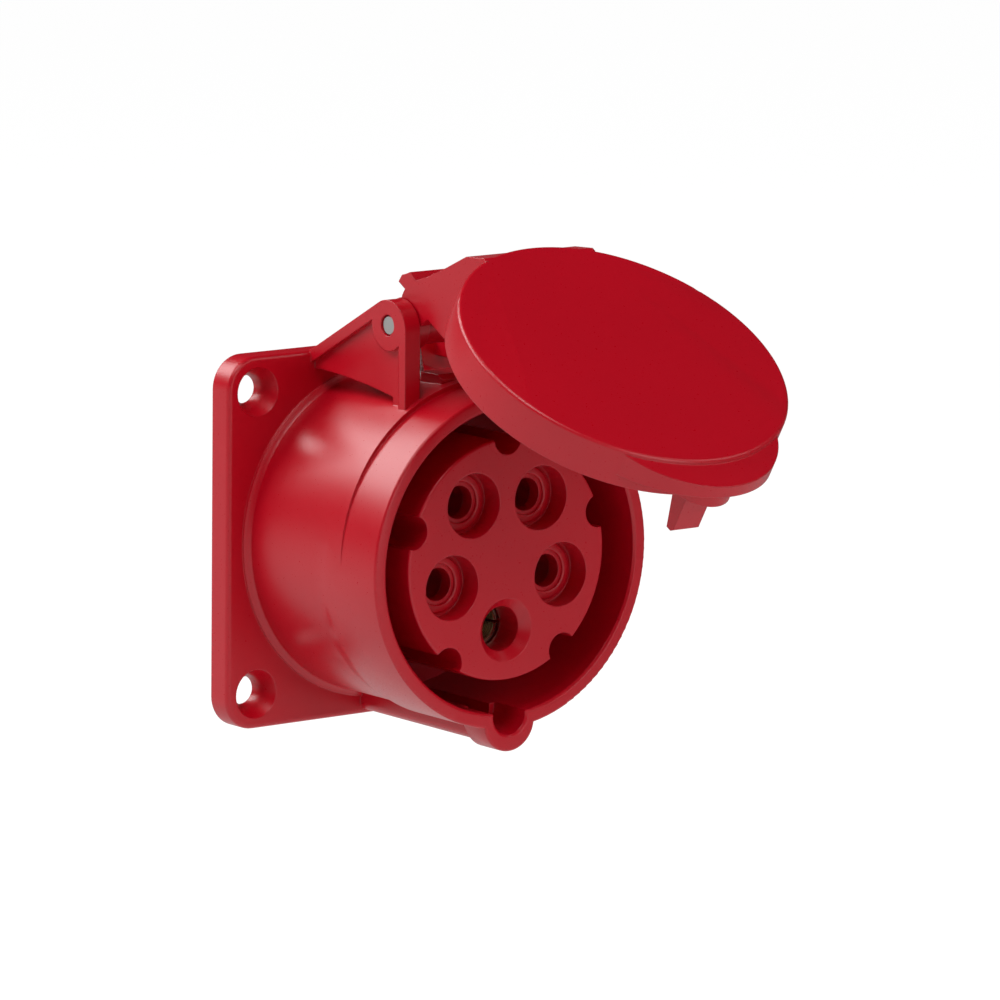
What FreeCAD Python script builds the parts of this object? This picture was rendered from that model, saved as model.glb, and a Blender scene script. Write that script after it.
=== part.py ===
"""Panel socket, 16 A, five pole, with a sprung lid.

All sizes are in millimetres. The front of the socket faces -Y, +Z is up and the origin is the centre of
the flange's back face. A depth d is counted forward from that face, so d = -Y. The lid is drawn in a
frame of its own: x across, s towards the hinge, h out of the lid's top face, and is then turned open.
"""
import FreeCAD, Part
import math
import os

V = FreeCAD.Vector

# Contacts and the circle that they stand on
PITCH_R = 13.97
LINE_1_ANGLE = 198.0
LINE_2_ANGLE = 126.0
LINE_3_ANGLE = 54.0
NEUTRAL_ANGLE = 342.0
EARTH_ANGLE = 270.0
LINE_IN_R = 2.5
LINE_WALL = 1.1
LINE_SHOULDER = 1.1
EARTH_IN_R = 3.5
EARTH_WALL = 1.1
EARTH_SHOULDER = 1.0
LINE_OUT_R = LINE_IN_R + LINE_WALL
LINE_BARREL_R = LINE_OUT_R + LINE_SHOULDER
EARTH_OUT_R = EARTH_IN_R + EARTH_WALL
EARTH_BARREL_R = EARTH_OUT_R + EARTH_SHOULDER
FIT = 0.05

# Radii from the contacts out to the flange's edge
CARRIER_BRIM = 9.9
CARRIER_CLEAR = 0.23
COLLAR_SPACE = 6.25
SHROUD_WALL = 2.85
BARREL_FLARE = 0.9
REAR_WALL = 2.1
STEP_WIDE = 1.25
FLANGE_MARGIN = 4.7
CARRIER_R = PITCH_R + CARRIER_BRIM
LEDGE_BORE_R = CARRIER_R + CARRIER_CLEAR
SHROUD_BORE_R = LEDGE_BORE_R + COLLAR_SPACE
SHROUD_R = SHROUD_BORE_R + SHROUD_WALL
BARREL_BACK_R = SHROUD_R - BARREL_FLARE
REAR_BORE_R = BARREL_BACK_R - REAR_WALL
STEP_R = BARREL_BACK_R + STEP_WIDE

# Depths from the flange's back out to the rim
FLANGE_THICK = 5.4
LEDGE_RECESS = 3.1
LEDGE_THICK = 5.5
RIM = 48.2
RIM_EDGE_R = 0.6
LEDGE_BACK = FLANGE_THICK + LEDGE_RECESS
LEDGE_FRONT = LEDGE_BACK + LEDGE_THICK

# Flange
FLANGE_SIDE = 2 * (BARREL_BACK_R + FLANGE_MARGIN)
FLANGE_CORNER_R = 6.5
FLANGE_EDGE_R = 1.0
HOLE_INSET = 7.0
HOLE_SPACING = FLANGE_SIDE - 2 * HOLE_INSET
HOLE_R = 2.86
HOLE_SINK = 1.99
HOLE_STRAIGHT = 1.5

# Barrel and shroud
STEP_HIGH = 0.4
STEP_FILLET = 2.8
STEP_SINK = 0.35
BARREL_RISE = 1.0
BARREL_SHORT = 11.0
SHROUD_CONE_BACK = 21.5
SHROUD_CONE_LONG = 5.8
SHROUD_CONE_IN = 1.0
BARREL_FRONT = RIM - BARREL_SHORT

# Keyway at the bottom
KEY_BUMP_R = 6.1
KEY_BUMP_IN = 1.5
KEY_BUMP_LONG = 6.7
KEY_BUMP_CONE = 2.9
KEY_SLOT_HALF = 3.9
KEY_SLOT_PAST = 4.15
KEY_SLOT_LONG = 10.1
KEY_DEEP_HALF = 2.6
KEY_DEEP_PAST = 3.65
KEEL_HALF = 4.4
KEEL_PROUD = 3.0
KEEL_CORNER_R = 1.8
KEY_Z = KEY_BUMP_IN - SHROUD_R

# Hinge ears on the housing
HINGE_BEHIND = 18.0
HINGE_OVER = 12.0
HINGE_D = RIM - HINGE_BEHIND
HINGE_Z = SHROUD_R + HINGE_OVER
EAR_OUT = 17.2
EAR_THICK = 3.6
EAR_TOP_R = 5.8
EAR_TOP_DROP = 0.8
EAR_WEB_HIGH = 3.57
EAR_BOSS_R = 5.0
EAR_LEG_THICK = 5.2
EAR_SINK = 0.8
EAR_ROOT = 0.4
EAR_WEB_OVER = 0.4
EAR_WEB_ARCH = 2.4
EAR_POCKET = 1.0
EAR_RIB = 2.2
PIN_R = 2.0
PIN_SHORT = 0.3
PIN_CHAMFER = 0.3
EAR_PIN_CLEAR = 0.08
LUG_PIN_CLEAR = 0.07

# Rest for the lid spring, on top of the barrel
REST_HALF = 7.0
REST_BEHIND = 2.6
REST_AHEAD = 3.8
REST_HIGH = 1.9
REST_SINK = 1.6
REST_CHAMFER = 1.0
REST_TOP = SHROUD_R + REST_HIGH

# Lid, in its own frame
LID_OPEN_DEG = 59.56
LID_R = SHROUD_R
LID_HIGH = 8.0
LID_PLATE = 2.4
LID_EDGE_R = 0.8
LID_SKIRT = 4.0
LID_RISE = 0.59
LID_GAP = 0.26
LID_HINGE_S = HINGE_Z - LID_RISE
LID_HINGE_H = HINGE_D - RIM - LID_GAP - LID_HIGH
LIP_R = 20.5
LIP_PROUD = 6.1
LIP_DROP_IN = 0.8
LIP_DROP_OUT = 1.5
LIP_EDGE = 2.2
LIP_ROOT = 5.6
LIP_DEEP = 6.0
LID_BUMP_R = 6.4
LID_BUMP_IN = 2.4
LIP_S = LIP_R - LIP_PROUD - LID_R
LID_BUMP_S = LID_BUMP_IN - LID_R

# Tab on the lid that reaches into the keyway
TAB_CLEAR = 0.8
TAB_SET = 0.9
TAB_TIP_THICK = 1.9
TAB_ROOT_THICK = 4.8
TAB_TIP_CHAMFER = 0.6
TAB_TIP_CLEAR = 0.56
TAB_HALF = KEY_SLOT_HALF - TAB_CLEAR
TAB_TIP_H = TAB_TIP_CLEAR - LID_HIGH - LID_GAP - KEY_SLOT_LONG

# Neck between the lid and its hinge: points (s, h) from the lid's edge and top, then from the hinge
NECK_CLEAR = 0.3
CHEEK = 2.5
HUB_R = 5.2
NECK_HALF = EAR_OUT - EAR_THICK - NECK_CLEAR
NECK_ROOT = [(-3.2, 0.0), (-2.2, 0.0), (2.3, -3.0), (6.4, -8.9)]
NECK_HOOK = [(-1.5, 12.7), (1.4, 9.5), (3.6, 9.9), (4.5, 8.8), (5.4, 7.9), (5.6, 6.1), (3.2, 6.1), (3.3, 4.8),
             (3.1, 3.2)]
NECK_BELLY = [(0.0, 0.0), (-4.4, 2.8), (-5.6, 5.4)]
NECK_SKIRT = -0.5
UNDER_ROOT = [(-1.7, -8.0), (1.4, -5.6), (4.8, -11.0)]
UNDER_WALL = [(-3.0, 10.4), (0.0, 7.1), (1.7, 6.7), (1.8, 4.2), (7.4, 4.2), (7.4, -6.7)]
OVER_ROOT = [(3.8, -2.0), (4.1, -6.7)]
OVER_WALL = [(-1.4, 11.4), (1.2, 8.5), (1.9, 10.3)]

# Lid seal
SEAL_SET = 0.9
SEAL_WIDE = 1.3
SEAL_LOOP_SET = 0.8
SEAL_DEEP = 1.8
SEAL_PROUD = 0.16
SEAL_CLEAR = 0.03
SEAL_OUT_R = LID_R - SEAL_SET
SEAL_IN_R = SEAL_OUT_R - SEAL_WIDE
SEAL_LOOP_OUT_R = LID_BUMP_R - SEAL_LOOP_SET
SEAL_LOOP_IN_R = SEAL_LOOP_OUT_R - SEAL_WIDE

# Lid spring
WIRE_R = 0.5
COIL_CLEAR = 0.8
COIL_R = PIN_R + WIRE_R + COIL_CLEAR
COIL_END_GAP = 2.6
COIL_TURNS = 8
COIL_SIDES = 12
WIRE_SIDES = 6
FOOT_IN = 1.0
FOOT_OFF_REST = 0.2
CATCH_S = 4.29
CATCH_H = 5.26
COIL_HALF = NECK_HALF - CHEEK - COIL_END_GAP

# Contact carrier
FACE_SUNK = 1.7
CARRIER_EDGE_R = 0.5
CARRIER_FLANGE_THICK = 3.5
CARRIER_FLANGE_CLEAR = 0.2
NOTCH_R = 3.3
NOTCH_SHORT = 2.0
LINE_MOUTH_WIDE = 0.75
LINE_SINK_WIDE = 3.12
LINE_SINK_DEEP = 4.87
EARTH_MOUTH_WIDE = 0.9
EARTH_SINK_WIDE = 1.85
EARTH_SINK_DEEP = 1.9
MOUTH_DEEP = 7.8
CHAMBER_CLEAR = 0.4
CARRIER_FACE = RIM - FACE_SUNK
CARRIER_BACK = LEDGE_BACK - CARRIER_FLANGE_THICK
CARRIER_FLANGE_R = REAR_BORE_R - CARRIER_FLANGE_CLEAR
LINE_MOUTH_R = LINE_IN_R + LINE_MOUTH_WIDE
LINE_SINK_R = LINE_MOUTH_R + LINE_SINK_WIDE
EARTH_MOUTH_R = EARTH_IN_R + EARTH_MOUTH_WIDE
EARTH_SINK_R = EARTH_MOUTH_R + EARTH_SINK_WIDE
MOUTH_BACK = CARRIER_FACE - MOUTH_DEEP
SHOULDER_D = LEDGE_FRONT

# Seal between the carrier and the ledge
ORING_R = 0.75
ORING_IN = 2.5
ORING_FIT = 0.02
ORING_SIDE_CLEAR = 0.05
ORING_D = LEDGE_BACK + ORING_IN
ORING_MAJOR_R = LEDGE_BORE_R - ORING_R - ORING_FIT
ORING_GROOVE_R = ORING_MAJOR_R - ORING_R - ORING_FIT

# Sleeves, their rings and clamp screws
LINE_SLEEVE_SUNK = 14.3
EARTH_SLEEVE_SUNK = 8.3
SLEEVE_CHAMFER = 0.3
SLEEVE_LEAD = 0.5
SLEEVE_SOLID = 3.0
SLEEVE_SLOT = 0.6
SLOT_LONG = 5.0
RING_BEHIND = 4.8
RING_WIDTH = 1.6
RING_GROOVE = 0.4
RING_THICK = 0.55
RING_GAP = 0.8
TERMINAL_LONG = 14.0
TERMINAL_CHAMFER = 0.4
WIRE_BORE_R = 2.2
WIRE_BORE_DEEP = 10.0
SCREW_BACK = 9.0
SCREW_R = 1.95
SCREW_REACH = 3.2
SCREW_LIFT = 0.2
SCREW_HEAD_WIDE = 0.35
SCREW_HEAD_HIGH = 1.8
SCREW_SLOT = 0.7
SCREW_SLOT_DEEP = 0.8
LINE_FRONT = CARRIER_FACE - LINE_SLEEVE_SUNK
EARTH_FRONT = CARRIER_FACE - EARTH_SLEEVE_SUNK
SLEEVE_BORE_BACK = SHOULDER_D + SLEEVE_SOLID
TERMINAL_END = CARRIER_BACK - TERMINAL_LONG
SCREW_D = CARRIER_BACK - SCREW_BACK
SCREW_HEAD_R = SCREW_R + SCREW_HEAD_WIDE

# Long screws
LONG_SCREW_R = 1.45
LONG_HEAD_WIDE = 1.05
LONG_HEAD_HIGH = 2.0
LONG_HEAD_BRIM = 0.6
LONG_POINT = 0.8
LONG_POINT_R = 0.4
LONG_TIP_SHORT = 1.0
SCREW_BITE = 7.0
HEAD_RECESS = 0.8
HEAD_CROSS = 3.0
HEAD_CROSS_THICK = 0.7
HEAD_CROSS_DEEP = 1.1
LONG_HEAD_R = LONG_SCREW_R + LONG_HEAD_WIDE
SCREW_RING_R = (LEDGE_BORE_R + REAR_BORE_R) / 2
CARRIER_SCREW_END = LEDGE_FRONT - LONG_TIP_SHORT
BLOCK_SCREW_END = SHOULDER_D + SCREW_BITE
SCREW_RING_ANGLES = [45.0, 135.0, 225.0, 315.0]

# Terminal block
BLOCK_HEAD_CLEAR = 1.15
BLOCK_EDGE_R = 1.0
WIRE_ENTRY_LONG = 5.0
WIRE_ENTRY_R = 3.2
WIRE_ENTRY_LEAD = 1.2
DRIVER_CLEAR = 0.3
BLOCK_SCREW_X = 5.0
BLOCK_R = SCREW_RING_R - LONG_HEAD_R - BLOCK_HEAD_CLEAR
BLOCK_END = TERMINAL_END - FIT - WIRE_ENTRY_LONG
DRIVER_HOLE_R = SCREW_HEAD_R + DRIVER_CLEAR

# Flange gasket
GASKET_WALL = 1.3
GASKET_WIDE = 2.1
GASKET_DEEP = 1.6
GASKET_CLEAR = 0.05
GASKET_IN_R = REAR_BORE_R + GASKET_WALL
GASKET_OUT_R = GASKET_IN_R + GASKET_WIDE

# How far a cutting shape runs past what it cuts, and how finely an edge's place is read
PAST = 1.0
NEAR = 0.01


def pt(x, d, z):
    """Point at x across, d forward of the flange's back, z up."""
    return V(x, -d, z)


def rod(r, d0, d1, x=0.0, z=0.0):
    """Round bar along the depth, from d0 to d1."""
    return Part.makeCylinder(r, d1 - d0, pt(x, d0, z), V(0, -1, 0))


def taper(r0, r1, d0, d1, x=0.0, z=0.0):
    """Round taper along the depth, radius r0 at d0 and r1 at d1."""
    return Part.makeCone(r0, r1, d1 - d0, pt(x, d0, z), V(0, -1, 0))


def tube(r_out, r_in, d0, d1, x=0.0, z=0.0):
    """Tube along the depth."""
    return rod(r_out, d0, d1, x, z).cut(rod(r_in, d0 - PAST, d1 + PAST, x, z))


def brick(x0, x1, d0, d1, z0, z1):
    """Box between two depths."""
    return Part.makeBox(x1 - x0, d1 - d0, z1 - z0, V(x0, -d1, z0))


def plate(points, x0, x1):
    """Outline of (d, z) points, given thickness from x0 to x1."""
    wire = Part.makePolygon([pt(x0, d, z) for d, z in points + points[:1]])
    return Part.Face(wire).extrude(V(x1 - x0, 0, 0))


def lathe(points, x=0.0, z=0.0):
    """Outline of (r, d) points, turned about the depth axis through x, z."""
    wire = Part.makePolygon([pt(x + r, d, z) for r, d in points + points[:1]])
    return Part.Face(wire).revolve(pt(x, 0, z), V(0, 1, 0), 360)


def cross_bar(r, x0, x1, d, z):
    """Round bar along x."""
    return Part.makeCylinder(r, x1 - x0, pt(x0, d, z), V(1, 0, 0))


def soften(shape, radius, pick):
    """Round the edges whose bounding box the function pick accepts."""
    edges = []
    for edge in shape.Edges:
        if pick(edge.BoundBox):
            edges.append(edge)
    return shape.makeFillet(radius, edges)


def round_nose(bar):
    """Round the front edge of a bar that ends at the rim."""
    return soften(bar, RIM_EDGE_R, lambda b: b.YMax < -RIM + NEAR)


def around(radius, angle):
    """X and Z of a point at an angle on a circle about the socket's axis."""
    a = math.radians(angle)
    return radius * math.cos(a), radius * math.sin(a)


def terminals():
    """Angle, bore radius, sleeve radius, barrel radius and front of the five contacts, by name."""
    thin = (LINE_IN_R, LINE_OUT_R, LINE_BARREL_R, LINE_FRONT)
    return {
        "contact_line_1": (LINE_1_ANGLE,) + thin,
        "contact_line_2": (LINE_2_ANGLE,) + thin,
        "contact_line_3": (LINE_3_ANGLE,) + thin,
        "contact_neutral": (NEUTRAL_ANGLE,) + thin,
        "contact_earth": (EARTH_ANGLE, EARTH_IN_R, EARTH_OUT_R, EARTH_BARREL_R, EARTH_FRONT),
    }


def save(name, shape):
    """Write one sub-part."""
    shape.exportStep("parts/" + name + ".step")


def flange():
    """Square plate with round corners, a rounded front edge and four countersunk holes."""
    half = FLANGE_SIDE / 2
    body = brick(-half, half, 0.0, FLANGE_THICK, -half, half)
    body = soften(body, FLANGE_CORNER_R, lambda b: b.YLength > FLANGE_THICK / 2 and b.XLength < NEAR
                  and b.ZLength < NEAR)
    body = soften(body, FLANGE_EDGE_R, lambda b: b.YMax < -FLANGE_THICK + NEAR)
    at = HOLE_SPACING / 2
    for x in (-at, at):
        for z in (-at, at):
            body = body.cut(rod(HOLE_R, -PAST, FLANGE_THICK + PAST, x, z))
            body = body.cut(taper(HOLE_R, HOLE_R + HOLE_SINK, HOLE_STRAIGHT, FLANGE_THICK + NEAR, x, z))
    return body


def barrel():
    """Outside of the housing's round body, solid, from the flange to the rim."""
    low = pt(0, FLANGE_THICK, 0)
    run = pt(0, BARREL_FRONT, BARREL_RISE) - low
    over = 0.2
    start = low - run * over
    span = run.Length * (1 + 2 * over)
    back = BARREL_BACK_R - BARREL_FLARE * over
    body = Part.makeCone(back, SHROUD_R + BARREL_FLARE * over, span, start, run)
    body = body.common(rod(SHROUD_R * 2, FLANGE_THICK / 2, BARREL_FRONT))
    root = FLANGE_THICK + STEP_HIGH
    meet = BARREL_BACK_R - STEP_SINK
    sink = (STEP_R - meet) * (1 - math.sqrt(0.5))
    rise = STEP_FILLET * (1 - math.sqrt(0.5))
    a = pt(STEP_R, root, 0)
    m = pt(meet + sink, root + rise, 0)
    b = pt(meet, root + STEP_FILLET, 0)
    low_d = FLANGE_THICK / 2
    corners = [b, pt(REAR_BORE_R, root + STEP_FILLET, 0), pt(REAR_BORE_R, low_d, 0), pt(STEP_R, low_d, 0), a]
    edges = [Part.Arc(a, m, b).toShape()]
    for first, second in zip(corners, corners[1:]):
        edges.append(Part.makeLine(first, second))
    ring = Part.Face(Part.Wire(edges)).revolve(V(0, 0, 0), V(0, 1, 0), 360)
    cone_start = RIM - SHROUD_CONE_BACK
    cone_end = cone_start + SHROUD_CONE_LONG
    shroud = taper(SHROUD_R - SHROUD_CONE_IN, SHROUD_R, cone_start, cone_end)
    shroud = shroud.fuse(round_nose(rod(SHROUD_R, cone_end, RIM)))
    bottom = -SHROUD_R - KEEL_PROUD
    bump_start = RIM - KEY_BUMP_LONG
    keel = brick(-KEEL_HALF, KEEL_HALF, FLANGE_THICK / 2, bump_start, bottom, KEY_Z + KEEL_CORNER_R)
    keel = soften(keel, KEEL_CORNER_R, lambda b: b.YLength > bump_start / 2 and b.ZMax < bottom + NEAR)
    bump = taper(KEEL_HALF, KEY_BUMP_R, bump_start - KEY_BUMP_CONE, bump_start, 0.0, KEY_Z)
    bump = bump.fuse(round_nose(rod(KEY_BUMP_R, bump_start, RIM, 0.0, KEY_Z)))
    body = body.fuse([ring, shroud, keel, bump])
    return body.removeSplitter()


def key_slot(half, bottom, d0, d1):
    """Slot with a round bottom, open towards the socket's axis."""
    z = bottom + half
    return rod(half, d0, d1, 0.0, z).fuse(brick(-half, half, d0, d1, z, bottom + KEY_SLOT_PAST + 2 * half))


def mouth():
    """Space inside the shroud with the keyway, its edge flared at the rim."""
    flare = RIM_EDGE_R * 0.8
    front = RIM + PAST
    wide = flare + PAST
    space = rod(SHROUD_BORE_R, LEDGE_FRONT, front)
    space = space.fuse(taper(SHROUD_BORE_R, SHROUD_BORE_R + wide, RIM - flare, front))
    half = KEY_SLOT_HALF
    bottom = -SHROUD_BORE_R - KEY_SLOT_PAST
    z = bottom + half
    slot = key_slot(half, bottom, RIM - KEY_SLOT_LONG, front)
    slot = slot.fuse(taper(half, half + wide, RIM - flare, front, 0.0, z))
    wedge = [pt(-half, RIM - flare, z), pt(half, RIM - flare, z), pt(half + wide, front, z),
             pt(-half - wide, front, z)]
    wedge = Part.Face(Part.makePolygon(wedge + wedge[:1])).extrude(V(0, 0, half + KEY_BUMP_IN))
    return space.fuse([slot, wedge])


def ear(side):
    """One hinge ear, side -1 or 1: web with a rib along its slope and front, and a boss at the pin."""
    top_z = HINGE_Z - EAR_TOP_DROP
    foot_z = math.sqrt(SHROUD_R ** 2 - EAR_OUT ** 2) - EAR_SINK
    web_z = SHROUD_R + EAR_WEB_OVER
    front = HINGE_D + EAR_TOP_R
    root = FLANGE_THICK - EAR_ROOT
    slope_z = web_z + EAR_WEB_HIGH
    run = HINGE_D - root
    climb = top_z - slope_z
    a = math.atan2(climb, run) + math.asin(EAR_TOP_R / math.hypot(run, climb))
    reach = (HINGE_D - EAR_TOP_R * math.sin(a), top_z + EAR_TOP_R * math.cos(a))
    leg = front - EAR_LEG_THICK
    x_out = side * EAR_OUT
    x_in = side * (EAR_OUT - EAR_THICK)
    mid = math.radians(45.0)
    crown = pt(x_in, HINGE_D + EAR_TOP_R * math.cos(mid), top_z + EAR_TOP_R * math.sin(mid))
    arch_root = pt(x_in, leg, web_z - EAR_WEB_ARCH)
    arch_top = pt(x_in, root + (leg - root) / 8, web_z)
    arch = pt(x_in, leg - (leg - root) * 0.44, web_z - EAR_WEB_ARCH * 0.3)
    start = pt(x_in, root, slope_z)
    top = pt(x_in, reach[0], reach[1])
    end = pt(x_in, front, top_z)
    foot = pt(x_in, front, foot_z)
    heel = pt(x_in, leg, foot_z)
    low = pt(x_in, root, web_z)
    edges = [Part.makeLine(low, start), Part.makeLine(start, top), Part.Arc(top, crown, end).toShape(),
             Part.makeLine(end, foot), Part.makeLine(foot, heel), Part.makeLine(heel, arch_root),
             Part.Arc(arch_root, arch, arch_top).toShape(), Part.makeLine(arch_top, low)]
    body = Part.Face(Part.Wire(edges)).extrude(V(x_out - x_in, 0, 0))
    rib = EAR_RIB / math.cos(a)
    inset = x_out - side * EAR_POCKET
    pocket = plate([(root - PAST, slope_z - rib - PAST * math.tan(a)), (reach[0], reach[1] - rib),
                    (front - EAR_RIB, reach[1] - rib), (front - EAR_RIB, foot_z - PAST),
                    (root - PAST, foot_z - PAST)], inset, x_out + side)
    low_x = min(inset, x_out + side) - PAST
    pocket = pocket.cut(cross_bar(EAR_BOSS_R, low_x, low_x + EAR_POCKET + 3 * PAST, HINGE_D, HINGE_Z))
    keep = brick(-EAR_OUT - 2 * PAST, EAR_OUT + 2 * PAST, HINGE_D - EAR_TOP_R / 2, front, HINGE_Z,
                 HINGE_Z + 2 * EAR_TOP_R)
    return body.cut(pocket.cut(keep))


def housing():
    """One moulding: flange, barrel, shroud, keyway, ears and the spring's rest."""
    body = flange().fuse(barrel())
    rest_front = HINGE_D + REST_AHEAD
    rest_low = math.sqrt(SHROUD_R ** 2 - REST_HALF ** 2) - REST_SINK
    rest = brick(-REST_HALF, REST_HALF, HINGE_D - REST_BEHIND, rest_front, rest_low, REST_TOP)
    rest = rest.makeChamfer(REST_CHAMFER, [e for e in rest.Edges if e.BoundBox.YMax < -rest_front + NEAR
                                           and e.BoundBox.ZMin > REST_TOP - NEAR])
    body = body.fuse([ear(-1), ear(1), rest])
    body = body.cut(mouth())
    body = body.cut(rod(LEDGE_BORE_R, LEDGE_BACK - PAST, LEDGE_FRONT + PAST))
    body = body.cut(rod(REAR_BORE_R, -PAST, LEDGE_BACK))
    body = body.cut(key_slot(KEY_DEEP_HALF, -SHROUD_BORE_R - KEY_DEEP_PAST, LEDGE_FRONT, RIM))
    body = body.cut(cross_bar(PIN_R + EAR_PIN_CLEAR, -EAR_OUT - PAST, EAR_OUT + PAST, HINGE_D, HINGE_Z))
    body = body.cut(tube(GASKET_OUT_R, GASKET_IN_R, -PAST, GASKET_DEEP))
    for angle in SCREW_RING_ANGLES:
        x, z = around(SCREW_RING_R, angle)
        body = body.cut(rod(LONG_SCREW_R + FIT, LEDGE_BACK - PAST, CARRIER_SCREW_END + CHAMBER_CLEAR, x, z))
    return body.removeSplitter()


def to_socket(shape):
    """Turn a shape from the lid's frame into the socket's, with the lid at rest."""
    turn = 90.0 - LID_OPEN_DEG
    a = math.radians(turn)
    y = LID_HINGE_S * math.cos(a) - LID_HINGE_H * math.sin(a)
    z = LID_HINGE_S * math.sin(a) + LID_HINGE_H * math.cos(a)
    shape = shape.copy()
    shape.rotate(V(0, 0, 0), V(1, 0, 0), turn)
    shape.translate(V(0, -HINGE_D - y, HINGE_Z - z))
    return shape


def disc(r, h0, h1, s=0.0):
    """Round plate in the lid's frame."""
    return Part.makeCylinder(r, h1 - h0, V(0, s, h0), V(0, 0, 1))


def side_plate(points, x0, x1):
    """Outline of (s, h) points in the lid's frame, given thickness from x0 to x1."""
    wire = Part.makePolygon([V(x0, s, h) for s, h in points + points[:1]])
    return Part.Face(wire).extrude(V(x1 - x0, 0, 0))


def seal_track(grow, h0, h1):
    """Path of the seal: a ring that goes round the tab in a loop; grow widens it on both sides."""
    ring = disc(SEAL_OUT_R + grow, h0, h1).cut(disc(SEAL_IN_R - grow, h0, h1))
    loop = disc(SEAL_LOOP_OUT_R + grow, h0, h1, LID_BUMP_S).cut(disc(SEAL_IN_R - grow, h0, h1))
    body = ring.fuse(loop)
    body = body.cut(disc(SEAL_LOOP_IN_R - grow, h0, h1, LID_BUMP_S))
    return body.removeSplitter()


def from_edge(points):
    """Points (s, h) of the lid's frame, given from its edge and top."""
    return [(LID_R + s, h) for s, h in points]


def from_hinge(points):
    """Points (s, h) of the lid's frame, given from its hinge."""
    return [(LID_HINGE_S + s, LID_HINGE_H + h) for s, h in points]


def hinge_bar(r, half):
    """Round bar about the hinge in the lid's frame, half its length to each side."""
    return Part.makeCylinder(r, 2 * half, V(-half, LID_HINGE_S, LID_HINGE_H), V(1, 0, 0))


def neck():
    """Neck from the lid to its two hinge lugs, with the catch for the spring's leg."""
    belly = from_hinge(NECK_BELLY)
    skirt_s = LID_R + NECK_SKIRT
    skirt_h = NEAR - LID_HIGH
    root_s = LID_R + NECK_ROOT[0][0]
    outline = from_edge(NECK_ROOT) + from_hinge(NECK_HOOK) + belly
    outline += [(skirt_s, belly[-1][1]), (skirt_s, skirt_h), (root_s, skirt_h)]
    body = side_plate(outline, -NECK_HALF, NECK_HALF)
    inside = NECK_HALF - CHEEK
    wall = from_hinge(UNDER_WALL)
    under = from_edge(UNDER_ROOT) + wall + [(LID_R + UNDER_ROOT[0][0], wall[-1][1])]
    body = body.cut(side_plate(under, -inside, inside))
    wall = from_hinge(OVER_WALL)
    over = from_edge(OVER_ROOT) + wall + [(wall[-1][0], OVER_ROOT[0][1])]
    body = body.cut(side_plate(over, -inside, inside))
    body = body.fuse(hinge_bar(HUB_R, NECK_HALF).cut(hinge_bar(HUB_R + PAST, inside)))
    return body.cut(hinge_bar(PIN_R + LUG_PIN_CLEAR, EAR_OUT))


def lid():
    """One moulding: disc, skirt, lip, bump, tab, neck and lugs."""
    body = disc(LID_R, -LID_HIGH, 0.0)
    body = soften(body, LID_EDGE_R, lambda b: b.ZMin > -NEAR)
    far = LID_R + LIP_PROUD + PAST
    near = LID_R - LIP_DEEP
    lip = [V(near, 0, -LIP_DROP_IN), V(LID_R, 0, -LIP_DROP_IN), V(far, 0, -LIP_DROP_OUT),
           V(far, 0, -LIP_DROP_OUT - LIP_EDGE), V(LID_R, 0, -LIP_ROOT), V(near, 0, -LIP_ROOT)]
    lip = Part.Face(Part.makePolygon(lip + lip[:1])).revolve(V(0, 0, 0), V(0, 0, 1), 360)
    lip = lip.common(disc(LIP_R, -LID_HIGH, 0.0, LIP_S))
    lip = lip.common(Part.makeBox(4 * LIP_R, LIP_R, 2 * LID_HIGH, V(-2 * LIP_R, LIP_S - LIP_R - PAST,
                                                                    -LID_HIGH - PAST)))
    bump = disc(LID_BUMP_R, -LID_HIGH, -LIP_DROP_OUT, LID_BUMP_S)
    body = body.fuse([lip, bump])
    body = body.cut(disc(LID_R - LID_SKIRT, -LID_HIGH - PAST, -LID_PLATE))
    out_s = TAB_SET - LID_R
    in_tip_s = out_s + TAB_TIP_THICK
    in_root_s = out_s + TAB_ROOT_THICK
    root_h = LID_EDGE_R - LID_PLATE
    tab = [(out_s, root_h), (out_s, TAB_TIP_H + TAB_TIP_CHAMFER), (out_s + TAB_TIP_CHAMFER, TAB_TIP_H),
           (in_tip_s, TAB_TIP_H), (in_root_s, -LID_HIGH), (in_root_s, root_h)]
    body = body.fuse([side_plate(tab, -TAB_HALF, TAB_HALF), neck()])
    body = body.cut(seal_track(SEAL_CLEAR, -LID_HIGH - PAST, SEAL_DEEP - LID_HIGH))
    return to_socket(body.removeSplitter())


def lid_seal():
    """Rubber seal in the skirt's groove."""
    return to_socket(seal_track(0.0, -LID_HIGH - SEAL_PROUD, SEAL_DEEP - LID_HIGH - SEAL_CLEAR))


def wire_solid(path):
    """Wire of flat facets along a path: a ring of points at each corner, carried along without twist."""
    rings = []
    side = V(0, 0, 0)
    for k, point in enumerate(path):
        before = path[max(k - 1, 0)]
        after = path[min(k + 1, len(path) - 1)]
        run = (after - before).normalize()
        if k == 0:
            side = run.cross(V(1, 0, 0)).normalize()
        side = (side - run * side.dot(run)).normalize()
        up = run.cross(side)
        ring = []
        for n in range(WIRE_SIDES):
            b = 2 * math.pi * n / WIRE_SIDES
            ring.append(point + side * (WIRE_R * math.cos(b)) + up * (WIRE_R * math.sin(b)))
        rings.append(ring)
    faces = [Part.Face(Part.makePolygon(ring + ring[:1])) for ring in (rings[0], rings[-1])]
    for low, high in zip(rings, rings[1:]):
        for n in range(WIRE_SIDES):
            m = (n + 1) % WIRE_SIDES
            faces.append(Part.Face(Part.makePolygon([low[n], low[m], high[m], low[n]])))
            faces.append(Part.Face(Part.makePolygon([low[n], high[m], high[n], low[n]])))
    shell = Part.makeShell(faces)
    shell.sewShape()
    body = Part.makeSolid(shell)
    if body.Volume < 0:
        body.reverse()
    return body


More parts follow.
